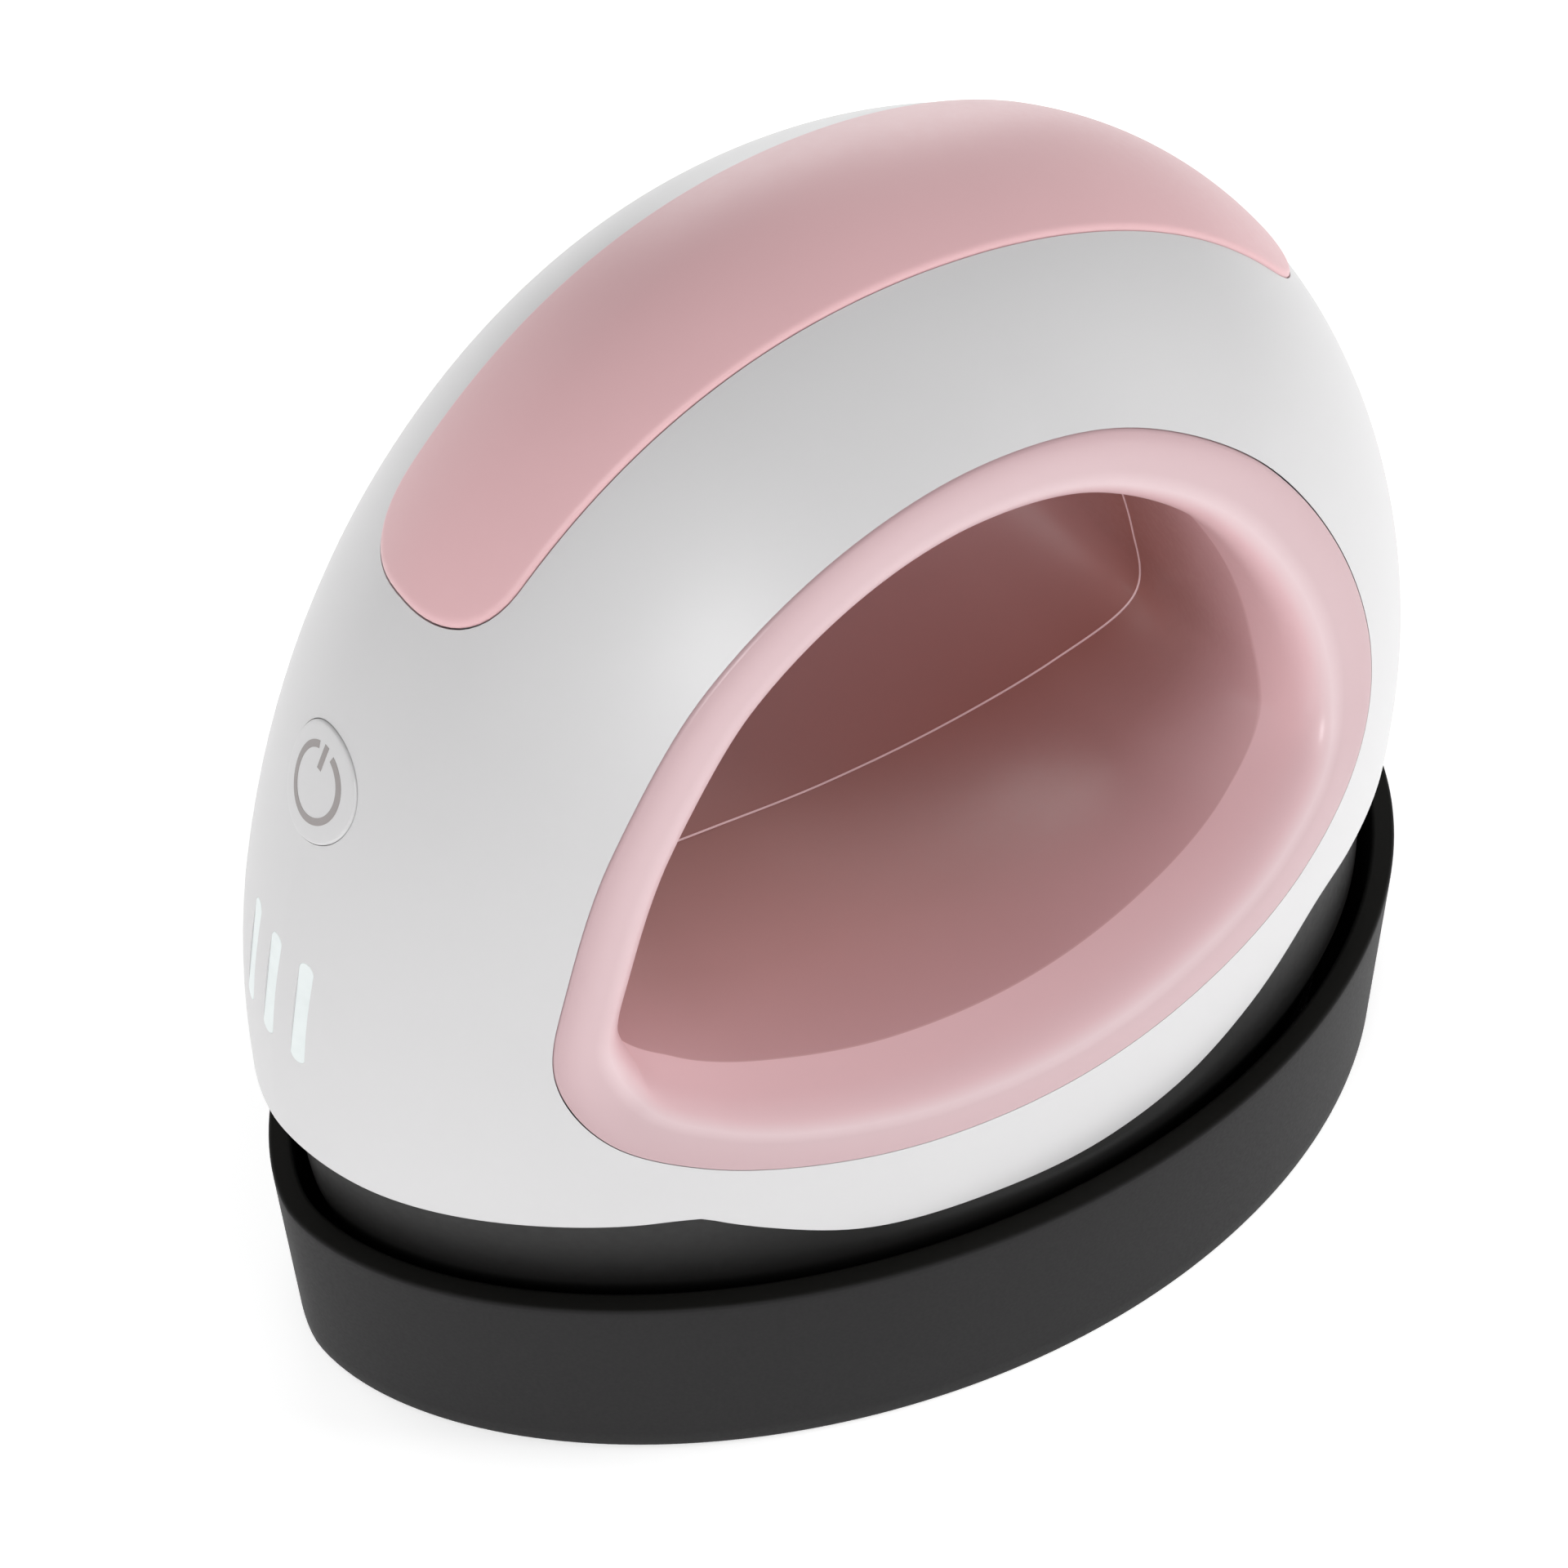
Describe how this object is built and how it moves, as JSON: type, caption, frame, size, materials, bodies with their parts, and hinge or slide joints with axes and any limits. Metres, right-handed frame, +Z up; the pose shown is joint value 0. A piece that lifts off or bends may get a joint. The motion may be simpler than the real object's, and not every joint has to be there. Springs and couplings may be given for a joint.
{
  "type": "mini heat press",
  "caption": "Small hand-held heat press with a helmet-shaped shell, a through hand hole, a grip pad on the crown and a nose button, resting in its insulated stand.",
  "frame": {"origin": "on the table, at the centre of the bounding box seen from above, under the middle of the stand", "axes": "+Z up, +Y from the nose with the button towards the tail, X along the hand hole; the press sits in its stand at rest"},
  "size_m": [0.0858, 0.1266, 0.1156],
  "materials": {
    "white_shell": "gloss",
    "white_button": "gloss",
    "pink_grip": "soft touch",
    "pink_liner": "satin",
    "light_pipe": "frosted, lit",
    "stand_plastic": "fine texture",
    "shield_plastic": "satin",
    "carbon_felt": "felt",
    "black_rubber": "matt",
    "board_laminate": "solder mask",
    "component_black": "moulded",
    "relay_blue": "gloss",
    "ceramic_white": "fired",
    "connector_plastic": "satin",
    "plate_aluminium": "brushed",
    "zinc_steel": "zinc plated",
    "mica_sheet": "layered",
    "ceramic_fibre": "fluffy",
    "red_silicone": "matt"
  },
  "bodies": {
    "stand": {"base_tray": "stand_plastic", "insulating_pad": "carbon_felt", "foot_front_left": "black_rubber", "foot_front_right": "black_rubber", "foot_rear_left": "black_rubber", "foot_rear_right": "black_rubber", "rest_stud_front": "black_rubber", "rest_stud_rear": "black_rubber", "rest_stud_left": "black_rubber", "rest_stud_right": "black_rubber"},
    "press": {"outer_shell": "white_shell", "grip_pad": "pink_grip", "liner_left": "pink_liner", "liner_right": "pink_liner", "light_pipe_left": "light_pipe", "light_pipe_middle": "light_pipe", "light_pipe_right": "light_pipe", "control_board": "board_laminate", "power_board": "board_laminate", "button_switch": "component_black", "control_chip": "component_black", "power_module": "component_black", "led_left": "ceramic_white", "led_middle": "ceramic_white", "led_right": "ceramic_white", "ribbon_socket": "connector_plastic", "terminal_block": "connector_plastic", "board_fuse": "ceramic_white", "relay": "relay_blue", "cord_gland": "black_rubber", "heat_shield": "shield_plastic", "heating_plate": "plate_aluminium", "heating_element": "mica_sheet", "clamp_plate": "zinc_steel", "fibre_blanket": "ceramic_fibre", "temperature_sensor": "ceramic_white", "thermal_fuse": "ceramic_white", "heater_lead_live": "red_silicone", "heater_lead_neutral": "red_silicone", "board_post_1": "shield_plastic", "plate_screw_1": "zinc_steel", "board_post_2": "shield_plastic", "plate_screw_2": "zinc_steel", "board_post_3": "shield_plastic", "plate_screw_3": "zinc_steel", "board_post_4": "shield_plastic", "plate_screw_4": "zinc_steel"},
    "power_button": {"power_button": "white_button"}
  },
  "joints": [
    {"name": "lift_off", "type": "slide", "parent": "stand", "child": "press", "axis": [0, 0, 1], "range_m": [0, 0.06]},
    {"name": "button_press", "type": "slide", "parent": "press", "child": "power_button", "axis": [0, 0.8997, -0.4366], "range_m": [0, 0.0008], "stiffness_N_per_m": 800, "springref_m": -0.0012}
  ]
}
